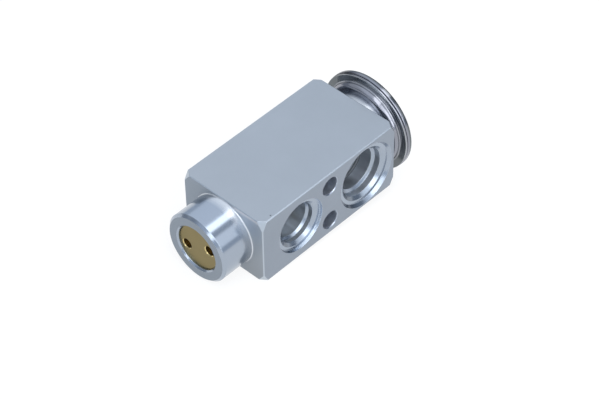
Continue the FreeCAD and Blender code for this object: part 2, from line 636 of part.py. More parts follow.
def make_closing_spring(doc, d, at):
    """Compression spring with closed, ground ends between the screw and the damper."""
    wire = d.spring_wire.value
    coil = at.spring_coil.value
    length = (at.damper_back - at.spigot_end).value
    turns = d.spring_active_turns.value
    # One closed turn at each end, with the wire's middle starting on the ground face
    closed_pitch = wire + d.closed_coil_gap.value
    open_pitch = (length - 2 * closed_pitch) / turns
    height = 0.0
    turned = 0.0
    edges = []
    for pitch, count in ((closed_pitch, 1.0), (open_pitch, turns), (closed_pitch, 1.0)):
        helix = Part.makeHelix(pitch, pitch * count, coil)
        helix.rotate(FreeCAD.Vector(), FreeCAD.Vector(0, 0, 1), math.degrees(turned))
        helix.translate(FreeCAD.Vector(0, 0, height))
        edges.extend(helix.Edges)
        height += pitch * count
        turned += 2 * math.pi * count
    path = Part.Wire(edges)
    rise = FreeCAD.Vector(0, 2 * math.pi * coil, closed_pitch)
    section = Part.Wire([Part.Circle(FreeCAD.Vector(coil, 0, 0), rise, wire / 2).toShape()])
    swept = path.makePipeShell([section], True, True)
    ground = Part.makeCylinder(coil + wire, length)
    feature = doc.addObject("Part::Feature", "closing_spring")
    feature.Label = "closing_spring"
    feature.Shape = swept.common(ground)
    feature.Placement = FreeCAD.Placement(FreeCAD.Vector(at.spigot_end.value, 0, 0),
                                          FreeCAD.Rotation(FreeCAD.Vector(0, 1, 0), 90))
    return feature


def make_ball_carrier(doc, d, at):
    """Cupped flange that holds the ball and centres the spring."""
    body = new_body(doc, "ball_carrier")
    pilot_end = at.carrier_back - d.carrier_pilot_length
    mouth = at.carrier_front - at.carrier_apex
    edge = d.screw_edge
    pilot = d.spring_pilot_radius
    turn(body, "turned_carrier", (
        (pilot_end, 0), (pilot_end, pilot - edge), (pilot_end + edge, pilot), (at.carrier_back, pilot),
        (at.carrier_back, at.carrier_radius), (at.carrier_front - edge, at.carrier_radius),
        (at.carrier_front, at.carrier_radius - edge), (at.carrier_front, mouth), (at.carrier_apex, 0)))
    return body


def make_valve_ball(doc, d, at):
    """The ball that shuts the orifice."""
    ball = doc.addObject("Part::Sphere", "valve_ball")
    ball.Label = "valve_ball"
    ball.setExpression("Radius", d.ball_radius.text)
    ball.setExpression("Placement.Base.x", at.ball_middle.text)
    return ball


def make_seat_ring(doc, d, at):
    """Hard ring pressed into the block, with the orifice and a 90 degree seat cone."""
    body = new_body(doc, "seat_ring")
    cone_foot = at.cone_apex - d.orifice_radius
    turn(body, "turned_ring", (
        (at.seat_ring_outer, d.seat_mouth_radius), (at.seat_ring_outer, d.seat_ring_radius),
        (at.seat_ring_inner, d.seat_ring_radius), (at.seat_ring_inner, d.orifice_radius),
        (cone_foot, d.orifice_radius)))
    return body


def make_vibration_damper(doc, d, at):
    """Spring-steel ring behind the carrier, with fingers that rub along the chamber wall."""
    body = new_body(doc, "vibration_damper")
    hole = d.spring_pilot_radius + d.thread_clearance
    turn(body, "ring", (
        (at.damper_back, hole), (at.damper_back, at.damper_ring),
        (at.carrier_back, at.damper_ring), (at.carrier_back, hole)))
    # A finger is a tongue out of the ring that bends back along the wall
    tip = at.damper_back - d.damper_finger_length
    inside = at.finger_outside - d.damper_sheet
    sketch = new_sketch(body, "finger_outline")
    root = at.damper_ring - d.damper_sheet
    draw_polygon(sketch, (
        (at.carrier_back, root), (at.carrier_back, inside), (at.damper_back, at.finger_outside),
        (tip, at.finger_outside), (tip, inside), (at.damper_back, inside), (at.damper_back, root)))
    finger = body.newObject("PartDesign::Pad", "finger")
    finger.Profile = sketch
    finger.setExpression("Length", d.damper_finger_width.text)
    finger.Midplane = True
    doc.recompute()
    pattern_round_x(body, "fingers", finger, d.damper_fingers)
    return body


def make_push_rod(doc, d, at):
    """Stainless rod with a slender tip through the orifice."""
    body = new_body(doc, "push_rod")
    turn(body, "ground_rod", (
        (at.rod_tip, 0), (at.rod_tip, d.rod_tip_radius), (at.rod_shoulder, d.rod_tip_radius),
        (at.rod_shoulder, d.rod_radius), (at.rod_head, d.rod_radius), (at.rod_head, 0)))
    return body


def make_backup_ring(doc, d, at):
    """Flat plastic ring between the rod's seal and its retainer."""
    body = new_body(doc, "rod_seal_backup_ring")
    inside = d.rod_radius + d.rod_clearance
    outside = at.seal_pocket - d.press_gap
    turn(body, "flat_ring", ((at.backup_start, inside), (at.backup_start, outside),
                             (at.retainer_start, outside), (at.retainer_start, inside)))
    return body


def make_rod_seal_retainer(doc, d, at):
    """Dished push-in washer with a slotted edge that grips the seal pocket."""
    body = new_body(doc, "rod_seal_retainer")
    inside = d.rod_radius + d.retainer_bore_gap
    outside = at.seal_pocket - d.press_gap
    crown = at.retainer_start + d.retainer_dish
    turn(body, "dished_washer", (
        (at.retainer_start, inside), (crown, outside), (crown + d.retainer_sheet, outside),
        (at.retainer_start + d.retainer_sheet, inside)))
    sketch = new_sketch(body, "slot_outline", "YZ_Plane", lift=at.retainer_start)
    half = d.retainer_slot_width / 2
    draw_polygon(sketch, ((outside - d.retainer_slot_depth, -half), (outside + half, -half),
                          (outside + half, half), (outside - d.retainer_slot_depth, half)))
    before = body.Shape.Volume
    slot = body.newObject("PartDesign::Pocket", "slot")
    slot.Profile = sketch
    slot.setExpression("Length", (d.retainer_dish + d.retainer_sheet * 2).text)
    slot.Reversed = True
    doc.recompute()
    if slot.Shape.Volume >= before:
        raise RuntimeError("slot cut nothing")
    pattern_round_x(body, "slots", slot, d.retainer_slots)
    return body


def make_sensing_shaft(doc, d, at):
    """Aluminium shaft across the suction passage, with the push rod's socket in its foot."""
    body = new_body(doc, "sensing_shaft")
    socket = d.rod_radius + d.press_gap
    edge = d.shaft_edge
    outside = d.shaft_radius
    turn(body, "turned_shaft", (
        (at.shaft_foot, socket), (at.shaft_foot, outside - edge), (at.shaft_foot + edge, outside),
        (at.shaft_head - edge, outside), (at.shaft_head, outside - edge), (at.shaft_head, 0),
        (at.rod_head, 0), (at.rod_head, socket)))
    return body


def make_diaphragm_stopper(doc, d, at):
    """Disc under the diaphragm, with a boss that takes the sensing shaft."""
    body = new_body(doc, "diaphragm_stopper")
    socket = d.shaft_radius + d.press_gap
    edge = d.shaft_edge
    turn(body, "turned_disc", (
        (at.stopper_boss_end, socket), (at.stopper_boss_end, at.stopper_boss),
        (at.stopper_low, at.stopper_boss), (at.stopper_low, at.stopper_radius - edge),
        (at.stopper_low + edge, at.stopper_radius), (at.stopper_top - edge, at.stopper_radius),
        (at.stopper_top, at.stopper_radius - edge), (at.stopper_top, 0), (at.shaft_head, 0),
        (at.shaft_head, socket)))
    return body


def make_head_neck(doc, d, at):
    """Threaded steel neck that screws the power head into the block."""
    body = new_body(doc, "head_neck")
    turn(body, "turned_neck", (
        (at.neck_end, at.neck_inside), (at.neck_end, at.neck_radius - d.neck_edge),
        (at.neck_end + d.neck_edge, at.neck_radius), (at.collar_end, at.neck_radius),
        (at.collar_end, at.neck_step), (at.cover_inside, at.neck_step),
        (at.cover_inside, at.neck_inside)))
    return body


def make_lower_cover(doc, d, at):
    """Drawn stainless cup brazed to the neck: flat base, rounded shoulder, flange and rim."""
    body = new_body(doc, "lower_cover")
    hole = at.neck_step + d.press_gap
    outside = at.shoulder_radius
    inside = at.inner_shoulder
    rim = at.lower_rim
    turn(body, "drawn_cup", (
        (at.collar_end, hole), (at.collar_end, outside), (at.flange_low, outside), (at.flange_low, rim),
        (at.flange_high, rim), (at.flange_high, inside), (at.cover_inside, inside), (at.cover_inside, hole)))
    dress(body, "shoulder_outside", "Fillet", at.shoulder_round, round_edges(body, outside, at.collar_end))
    dress(body, "shoulder_inside", "Fillet", at.shoulder_round - d.cover_sheet,
          round_edges(body, inside, at.cover_inside))
    dress(body, "flange_root_outside", "Fillet", d.flange_root_round,
          round_edges(body, outside, at.flange_low))
    dress(body, "flange_root_inside", "Fillet", d.flange_root_round + d.cover_sheet,
          round_edges(body, inside, at.flange_high))
    dress(body, "rim_rounds", "Fillet", at.rim_round,
          round_edges(body, rim, at.flange_low) + round_edges(body, rim, at.flange_high))
    return body


def make_upper_cover(doc, d, at):
    """Pressed stainless cap: rim, domed crown with a flat top, and a dimple round the charge hole."""
    body = new_body(doc, "upper_cover")
    sheet = d.cover_sheet
    rim = d.rim_radius
    rim_low = at.diaphragm_top
    turn(body, "pressed_cap", (
        (rim_low, rim), (at.rim_top, rim), (at.rim_top, at.dome_foot),
        (at.dome_top, at.dome_top_radius), (at.dome_top, d.dimple_radius),
        (at.dimple_floor, d.dimple_radius - d.dimple_depth), (at.dimple_floor, d.charge_hole_radius),
        (at.dimple_floor - sheet, d.charge_hole_radius),
        (at.dimple_floor - sheet, d.dimple_radius - d.dimple_depth),
        (at.dome_top - sheet, d.dimple_radius), (at.dome_top - sheet, at.dome_top_radius - sheet / 2),
        (rim_low, at.dome_foot - sheet / 2)))
    dress(body, "dome_foot", "Fillet", d.dome_round, round_edges(body, at.dome_foot, at.rim_top))
    dress(body, "dome_shoulder", "Fillet", d.dome_round, round_edges(body, at.dome_top_radius, at.dome_top))
    dress(body, "rim_low_round", "Fillet", at.rim_round, round_edges(body, rim, rim_low))
    dress(body, "rim_top_round", "Fillet", d.cap_rim_round, round_edges(body, rim, at.rim_top))
    return body


def make_charge_plug(doc, d, at):
    """Welded plug that closes the charge hole."""
    body = new_body(doc, "charge_plug")
    head_end = at.dimple_floor + d.plug_head_length
    stem = d.charge_hole_radius - d.press_gap
    turn(body, "turned_plug", (
        (at.dimple_floor - d.plug_stem_length, 0), (at.dimple_floor - d.plug_stem_length, stem),
        (at.dimple_floor, stem), (at.dimple_floor, d.plug_head_radius), (head_end, d.plug_head_radius),
        (head_end, 0)))
    dress(body, "head_round", "Fillet", d.plug_round, round_edges(body, d.plug_head_radius, head_end))
    return body


def make_diaphragm(doc, d, at):
    """Thin disc clamped between the covers, with round corrugations outside the stopper."""
    sheet = d.diaphragm_sheet.value
    low = at.flange_high.value
    edge = at.diaphragm_edge.value
    start = at.stopper_radius.value
    half_wave = d.diaphragm_wave_length.value / 2
    count = int(round(d.diaphragm_waves.value)) * 2

    def corrugated(x):
        """Half of the section's outline: a flat middle, arcs that swing to and fro, and a flat edge."""
        edges = [Part.LineSegment(FreeCAD.Vector(x, 0, 0), FreeCAD.Vector(x, start, 0)).toShape()]
        for index in range(count):
            near = start + index * half_wave
            swing = d.diaphragm_wave_height.value * (-1 if index % 2 == 0 else 1)
            points = (FreeCAD.Vector(x, near, 0), FreeCAD.Vector(x + swing, near + half_wave / 2, 0),
                      FreeCAD.Vector(x, near + half_wave, 0))
            edges.append(Part.Arc(*points).toShape())
        far = start + count * half_wave
        edges.append(Part.LineSegment(FreeCAD.Vector(x, far, 0), FreeCAD.Vector(x, edge, 0)).toShape())
        return edges

    lower = corrugated(low)
    upper = corrugated(low + sheet)
    ends = []
    for radius in (0, edge):
        across = (FreeCAD.Vector(low, radius, 0), FreeCAD.Vector(low + sheet, radius, 0))
        ends.append(Part.LineSegment(*across).toShape())
    outline = Part.Wire(Part.__sortEdges__(lower + upper + ends))
    feature = doc.addObject("Part::Feature", "diaphragm")
    feature.Label = "diaphragm"
    feature.Shape = Part.Face(outline).revolve(FreeCAD.Vector(), X_AXIS, 360)
    feature.Placement = FreeCAD.Placement()
    return feature


def make_all(doc, d, at):
    """Every piece of the valve, in the order in which it is put together."""
    seal = d.screw_seal_section / 2
    return [
        make_valve_block(doc, d, at),
        make_seat_ring(doc, d, at),
        make_valve_ball(doc, d, at),
        make_ball_carrier(doc, d, at),
        make_vibration_damper(doc, d, at),
        make_closing_spring(doc, d, at),
        make_adjusting_screw(doc, d, at),
        ring_on_axis(doc, "adjusting_screw_seal", at.screw_seal_middle, at.screw_seal_major, seal),
        ring_on_axis(doc, "rod_seal", at.seal_middle, at.rod_seal_major, d.rod_seal_section / 2),
        make_backup_ring(doc, d, at),
        make_rod_seal_retainer(doc, d, at),
        make_push_rod(doc, d, at),
        make_sensing_shaft(doc, d, at),
        make_diaphragm_stopper(doc, d, at),
        ring_on_axis(doc, "head_seal", at.head_seal_middle, at.head_seal_major, d.head_seal_section / 2),
        make_head_neck(doc, d, at),
        make_lower_cover(doc, d, at),
        make_diaphragm(doc, d, at),
        make_upper_cover(doc, d, at),
        make_charge_plug(doc, d, at),
    ]


def check(doc, nodes):
    """Stop if any object failed or any piece isn't one sound solid."""
    for item in doc.Objects:
        if "Invalid" in item.State or "Error" in item.State:
            raise RuntimeError(f"{item.Label} failed")
    for node in nodes:
        if node.Shape.isNull() or not node.Shape.isValid() or len(node.Shape.Solids) != 1:
            raise RuntimeError(f"{node.Label} is not one sound solid")


def main():
    """Build the valve and write one file for each piece."""
    doc = FreeCAD.newDocument("expansion_valve")
    d = Dims(make_sheet(doc))
    nodes = make_all(doc, d, Layout(d))
    doc.recompute()
    check(doc, nodes)
    os.makedirs(PARTS_FOLDER, exist_ok=True)
    for node in nodes:
        node.Shape.exportStep(os.path.join(PARTS_FOLDER, node.Label + ".step"))
        print(node.Label, round(node.Shape.Volume, 1), "cubic millimetres")


main()
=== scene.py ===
"""Thermostatic expansion valve on a pale studio floor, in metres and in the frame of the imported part."""
import math

import bpy
from mathutils import Matrix, Vector


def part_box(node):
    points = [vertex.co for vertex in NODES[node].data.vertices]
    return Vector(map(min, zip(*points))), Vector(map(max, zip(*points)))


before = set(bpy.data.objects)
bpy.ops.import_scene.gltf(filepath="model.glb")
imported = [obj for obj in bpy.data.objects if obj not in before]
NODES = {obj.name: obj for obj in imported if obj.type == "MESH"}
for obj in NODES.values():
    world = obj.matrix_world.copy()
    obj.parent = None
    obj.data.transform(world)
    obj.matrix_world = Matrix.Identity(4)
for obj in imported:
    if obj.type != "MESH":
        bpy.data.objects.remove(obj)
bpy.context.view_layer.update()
MM = 0.001

# Block
BLOCK_LOW, BLOCK_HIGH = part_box("valve_block")
BOSS_LENGTH = 12.2 * MM
BLOCK_HALF_LENGTH = -BLOCK_LOW.x - BOSS_LENGTH
# How far from an end face's plane its finish starts, and the turned finish beyond it
ON_END = -0.03 * MM
PAST_END = 0.02 * MM
# Painted light on turned metal next to the end faces, which is also rougher there: where it starts to fade
# and where it ends
ROOT_REACH = (1.08 * MM, 3.6 * MM)

# Ports: place along the block, a radius just past the mouth, and the side that they open to
LIQUID_REACH = 9.75 * MM
SUCTION_REACH = 12.0 * MM
FRONT = -1.0
REAR = 1.0
PORTS = (
    (-13.25 * MM, LIQUID_REACH, FRONT),
    (-12.2 * MM, LIQUID_REACH, REAR),
    (16.77 * MM, SUCTION_REACH, FRONT),
    (16.77 * MM, SUCTION_REACH, REAR),
)
# Depths below the port faces: where a hole starts, where the lead-ins end, and the step in the suction ports
SUNK = 0.03 * MM
LEAD_END = (1.9 * MM, 2.1 * MM)
STEP_DEPTH = (9.1 * MM, 10.1 * MM)
# Bolt holes: height above and below the middle, and a radius just past the mouth
BOLT_ABOVE = 7.35 * MM
BOLT_REACH = 3.5 * MM

# Adjusting screw: its face, a radius past the bore that it turns in, and where its holes' painted light fades
# in
SCREW_LOW, SCREW_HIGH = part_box("adjusting_screw")
SCREW_FACE = SCREW_LOW.x
BORE_REACH = SCREW_HIGH.y + 0.7 * MM
BLIND_HOLE = (SCREW_FACE + 0.2 * MM, SCREW_FACE + 0.5 * MM)

# Power head: just past the face of the lower cover's flange, where the flange starts, where the rim starts,
# and where the rim is painted dark
FLANGE_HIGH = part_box("lower_cover")[1]
FLANGE_FACE = FLANGE_HIGH.x - 0.65 * MM
FLANGE_START = (FLANGE_HIGH.y - 2.75 * MM, FLANGE_HIGH.y - 2.15 * MM)
RIM_LOW, RIM_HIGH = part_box("upper_cover")
RIM_START = RIM_HIGH.y - 0.65 * MM
RIM_PAINTED_DARK = (RIM_LOW.x + 0.43 * MM, RIM_LOW.x + 0.93 * MM)
# The rim has painted shade along its outer edge on top, and all across on the far side
RIM_EDGE = (RIM_LOW.x + 1.08 * MM, RIM_LOW.x + 1.28 * MM)
RIM_TOP = (2.0 * MM, 9.0 * MM)
RIM_FAR = (3.5 * MM, 8.5 * MM)
# The flange has painted light but for its far side and its underside, which keep a painted dark reflection
FLANGE_FAR = (9.0 * MM, 13.0 * MM)
FLANGE_UNDER = (-7.0 * MM, -4.0 * MM)

# Camera, measured on the photograph
CAMERA_AZIMUTH = math.radians(-46.17)
CAMERA_ELEVATION = math.radians(45.093)
CAMERA_ROLL = math.radians(-0.852)
CAMERA_DISTANCE = 669.53 * MM
CAMERA_CLIP = (0.01, 20.0)
FOCAL_PIXELS = 2129.93
FRAME_WIDTH = 600
FRAME_HEIGHT = 400
SENSOR_WIDTH = 36.0
BLOCK_MIDDLE_PIXEL = (291.065, 177.635)


def make_camera():
    """The camera of the photograph, aimed so that the block's middle falls on its pixel."""
    back = Vector((math.sin(CAMERA_AZIMUTH) * math.cos(CAMERA_ELEVATION),
                   -math.cos(CAMERA_AZIMUTH) * math.cos(CAMERA_ELEVATION),
                   math.sin(CAMERA_ELEVATION)))
    level = Vector((math.cos(CAMERA_AZIMUTH), math.sin(CAMERA_AZIMUTH), 0.0))
    upright = back.cross(level)
    right = level * math.cos(CAMERA_ROLL) + upright * math.sin(CAMERA_ROLL)
    up = upright * math.cos(CAMERA_ROLL) - level * math.sin(CAMERA_ROLL)
    scale = CAMERA_DISTANCE / FOCAL_PIXELS
    aside = (BLOCK_MIDDLE_PIXEL[0] - FRAME_WIDTH / 2) * scale
    above = (FRAME_HEIGHT / 2 - BLOCK_MIDDLE_PIXEL[1]) * scale
    place = back * CAMERA_DISTANCE - right * aside - up * above
    data = bpy.data.cameras.new("camera")
    data.sensor_width = SENSOR_WIDTH
    data.lens = FOCAL_PIXELS / FRAME_WIDTH * SENSOR_WIDTH
    data.clip_start, data.clip_end = CAMERA_CLIP
    camera = bpy.data.objects.new("camera", data)
    bpy.context.scene.collection.objects.link(camera)
    axes = Matrix((right, up, back)).transposed().to_4x4()
    camera.matrix_world = Matrix.Translation(place) @ axes
    bpy.context.scene.camera = camera


# Sockets of a Mix node: its share, its two numbers and its two colours, and where the mixed colour comes out
MIX_SHARE = 0
MIX_NUMBERS = (2, 3)
MIX_COLOURS = (6, 7)
MIXED_COLOUR = 2
# Noise seldom leaves these limits
NOISE_MIDDLE = (0.3, 0.7)
BEVEL_SAMPLES = 6


def shade(colour, share=1.0):
    """A colour made lighter or darker by a share, with the alpha that sockets take."""
    return tuple(min(1.0, channel * share) for channel in colour) + (1.0,)


class Tree:
    """A material's node tree, with short calls for the nodes that the finishes use. Shares go from 0 to 1."""

    def __init__(self, name, metallic):
        self.material = bpy.data.materials.new(name)
        self.material.use_nodes = True
        self.nodes = self.material.node_tree.nodes
        self.links = self.material.node_tree.links
        self.shader = self.nodes["Principled BSDF"]
        self.shader.inputs["Metallic"].default_value = metallic
        coordinates = self.nodes.new("ShaderNodeTexCoord")
        self.place = coordinates.outputs["Object"]
        self.x, self.y, self.z = self.split(self.place)
        self.normal_x, self.normal_y, self.normal_z = self.split(coordinates.outputs["Normal"])

    def feed(self, socket, value):
        """Put a number, or another node's output, on a socket."""
        if isinstance(value, bpy.types.NodeSocket):
            self.links.new(value, socket)
        else:
            socket.default_value = value

    def split(self, vector):
        """The three parts of a vector."""
        node = self.nodes.new("ShaderNodeSeparateXYZ")
        self.links.new(vector, node.inputs[0])
        return node.outputs

    def math(self, operation, *terms):
        """One math node."""
        node = self.nodes.new("ShaderNodeMath")
        node.operation = operation
        for socket, term in zip(node.inputs, terms):
            self.feed(socket, term)
        return node.outputs[0]

    def absolute(self, value):
        """A value without its sign."""
        return self.math("ABSOLUTE", value)

    def plus(self, first, second):
        """Sum of two values."""
        return self.math("ADD", first, second)

    def minus(self, first, second):
        """What is left of a value once another is taken from it."""
        return self.math("SUBTRACT", first, second)

    def over(self, value, limit):
        """1 where a value is over a limit, and 0 elsewhere."""
        return self.math("GREATER_THAN", value, limit)

    def under(self, value, limit):
        """1 where a value is under a limit, and 0 elsewhere."""
        return self.math("LESS_THAN", value, limit)

    def both(self, first, *others):
        """Product of shares: where all of them hold."""
        for other in others:
            first = self.math("MULTIPLY", first, other)
        return first

    def either(self, first, *others):
        """Largest of some shares: where any of them holds."""
        for other in others:
            first = self.math("MAXIMUM", first, other)
        return first

    def distance(self, *offsets):
        """Length of up to three offsets."""
        joined = self.nodes.new("ShaderNodeCombineXYZ")
        for socket, offset in zip(joined.inputs, offsets):
            self.feed(socket, offset)
        length = self.nodes.new("ShaderNodeVectorMath")
        length.operation = "LENGTH"
        self.links.new(joined.outputs[0], length.inputs[0])
        return length.outputs["Value"]

    def noise(self, scale, detail=3.0, stretch=None):
        """Noise in the part's own coordinates; stretch scales it along each axis."""
        node = self.nodes.new("ShaderNodeTexNoise")
        node.inputs["Scale"].default_value = scale
        node.inputs["Detail"].default_value = detail
        source = self.place
        if stretch is not None:
            mapping = self.nodes.new("ShaderNodeMapping")
            mapping.inputs["Scale"].default_value = stretch
            self.links.new(self.place, mapping.inputs["Vector"])
            source = mapping.outputs[0]
        self.links.new(source, node.inputs["Vector"])
        return node.outputs["Fac"]

    def lines(self, along, scale, detail=2.0):
        """Uneven fine lines across one coordinate, as a cutting tool leaves them."""
        node = self.nodes.new("ShaderNodeTexNoise")
        node.noise_dimensions = "1D"
        node.inputs["Scale"].default_value = scale
        node.inputs["Detail"].default_value = detail
        self.links.new(along, node.inputs["W"])
        return node.outputs["Fac"]

    def ramp(self, value, limits, span):
        """Map a value between two limits to a span, and hold it there."""
        node = self.nodes.new("ShaderNodeMapRange")
        self.feed(node.inputs["Value"], value)
        for name, number in zip(("From Min", "From Max", "To Min", "To Max"), limits + span):
            node.inputs[name].default_value = number
        return node.outputs[0]

    def rise(self, value, limits):
        """Share that rises from 0 to 1 between two limits."""
        return self.ramp(value, limits, (0.0, 1.0))

    def fall(self, value, limits):
        """Share that falls from 1 to 0 between two limits."""
        return self.ramp(value, limits, (1.0, 0.0))

    def spread(self, noise, span=(0.0, 1.0)):
        """Noise spread over a span."""
        return self.ramp(noise, NOISE_MIDDLE, span)

    def blend(self, share, first, second):
        """Two numbers mixed by a share."""
        node = self.nodes.new("ShaderNodeMix")
        self.feed(node.inputs[MIX_SHARE], share)
        self.feed(node.inputs[MIX_NUMBERS[0]], first)
        self.feed(node.inputs[MIX_NUMBERS[1]], second)
        return node.outputs[0]

    def tint(self, share, first, second):
        """Two colours mixed by a share."""
        node = self.nodes.new("ShaderNodeMix")
        node.data_type = "RGBA"
        self.feed(node.inputs[MIX_SHARE], share)
        self.feed(node.inputs[MIX_COLOURS[0]], first)
        self.feed(node.inputs[MIX_COLOURS[1]], second)
        return node.outputs[MIXED_COLOUR]

    def mottle(self, share, colour, shades):
        """A colour that goes between two shades of itself."""
        return self.tint(share, shade(colour, shades[0]), shade(colour, shades[1]))

    def bump(self, height, distance, edge=None):
        """Normal from a height; edge rounds sharp corners by that radius."""
        node = self.nodes.new("ShaderNodeBump")
        node.inputs["Distance"].default_value = distance
        node.inputs["Strength"].default_value = 1.0
        self.links.new(height, node.inputs["Height"])
        if edge:
            rounding = self.nodes.new("ShaderNodeBevel")
            rounding.samples = BEVEL_SAMPLES
            rounding.inputs["Radius"].default_value = edge
            self.links.new(rounding.outputs[0], node.inputs["Normal"])
        self.links.new(node.outputs[0], self.shader.inputs["Normal"])

    def coat(self, names, colour, roughness):
        """Finish the material and give it to the named nodes."""
        self.links.new(colour, self.shader.inputs["Base Color"])
        self.links.new(roughness, self.shader.inputs["Roughness"])
        for name in names:
            slots = NODES[name].data.materials
            slots.clear()
            slots.append(self.material)


# Colours of the block: plain faces, port faces painted darker as painted shade, end faces, turned metal, and
# edges
PLAIN_ALUMINIUM = (0.397, 0.431, 0.470)
PORT_ALUMINIUM = (0.290, 0.330, 0.388)
END_ALUMINIUM = (0.278, 0.317, 0.365)
# End faces: a painted light copy for the pale side, and a painted highlight beside the boss
PAINTED_LIGHT_END_ALUMINIUM = (0.355, 0.390, 0.430)
PAINTED_HIGHLIGHT_ALUMINIUM = (0.62, 0.62, 0.64)
CLEAN_ALUMINIUM = (0.36, 0.41, 0.48)
# Painted highlight on the block's edges and rounds
EDGE_HIGHLIGHT_ALUMINIUM = (0.47, 0.525, 0.585)
# Colours of its holes, lightened as painted light: suction bores, liquid bores, bolt holes; the step in the
# suction bores, painted shade
PAINTED_LIGHT_ALUMINIUM = (0.60, 0.63, 0.67)
LIQUID_ALUMINIUM = (0.51, 0.545, 0.585)
PAINTED_LIGHT_BOLT_ALUMINIUM = (0.75, 0.79, 0.86)
PAINTED_SHADE_STEP_ALUMINIUM = (0.25, 0.27, 0.29)
# Darkest and lightest shade of a colour that is mottled
CLOUD_SHADES = (0.975, 1.025)
RING_SHADES = (0.96, 1.04)
# In the bores these shades carry painted reflection streaks
SUCTION_STREAK_SHADES = (0.88, 1.16)
LIQUID_SHADES = (0.8, 1.3)
# On the end faces this mottle is painted light, lighter upwards
PAINTED_LIGHT_END_SHADES = (0.86, 1.22)
# Shade of a plain one: end faces, the painted light patch beside the boss, and the painted shade and painted
# light on the bores' sides
FACE_SHADE = 1.08
PAINTED_LIGHT_PATCH_SHADE = 1.35
SHADED_SHADE = 0.55
LIT_SHADE = 1.5
# Roughness
SATIN = (0.33, 0.38)
FACED_SATIN = (0.50, 0.60)
TURNED_BRIGHT = (0.16, 0.21)
BORED_BRIGHT = (0.18, 0.26)
DEEP_SATIN = (0.36, 0.46)
ROOT_ROUGHNESS = 0.32
STEP_ROUGHNESS = 0.8
# Fine lines and grain: cells a metre, but the painted reflection streaks in the bores go by the radian
FACE_LINES = 5200.0
TURNING_LINES = 9000.0
BORING_LINES = 7000.0
PAINTED_REFLECTION_STREAKS = 1.9
PAINTED_REFLECTION_DETAIL = 1.5
PAINTED_REFLECTION_MIDDLE = (0.38, 0.62)
TOOL_MARKS_SHARE = 0.2
DRAWN_LINES = (60.0, 5200.0, 5200.0)
GRAIN = 14000.0
GRAIN_SHARE = 0.55
CLOUDS = 55.0
SATIN_CLOUDS = 900.0
# Height of the fine marks, its share on the bar and on machined metal, and the round of the edges
MARK_HEIGHT = 0.004 * MM
BAR_MARKS = 0.25
MACHINED_MARKS = 0.4
EDGE_ROUND = 0.24 * MM
# Limits on the parts of the surface's direction: walls of holes, steep walls, the bores' sides with painted
# shade and painted light, plain faces, and faces square to an axis
WALL_LIMIT = 0.3
STEEP_LIMIT = 0.35
SHADED_LIMITS = (0.22, 0.42)
LIT_LIMITS = (-0.8, -0.45)
PLAIN_FACE_LIMIT = 0.9
SQUARE_LIMIT = 0.985
# End faces: painted light across and upwards; on the boss's end a painted light patch, a painted highlight on
# top
PAINTED_LIGHT_ACROSS = (-10.0 * MM, -5.0 * MM)
PAINTED_LIGHT_UPWARDS = (-10.0 * MM, 9.0 * MM)
PAINTED_LIGHT_PATCH_MIDDLE = (-11.6 * MM, 8.6 * MM)
PAINTED_LIGHT_PATCH_REACH = (1.3 * MM, 6.5 * MM)
PAINTED_HIGHLIGHT_HEIGHT = (11.2 * MM, 12.2 * MM)
PAINTED_HIGHLIGHT_ACROSS = (-5.5 * MM, -3.5 * MM)
# A tiny nick in the top face: its place, where its dark mark fades, and the mark's colour
NICK_MIDDLE = (-25.35 * MM, -15.70 * MM)
NICK_REACH = (0.132 * MM, 0.33 * MM)
NICK_ABOVE = BLOCK_HIGH.z - 0.02 * MM
NICK_DARK_MARK = (0.10, 0.11, 0.12)


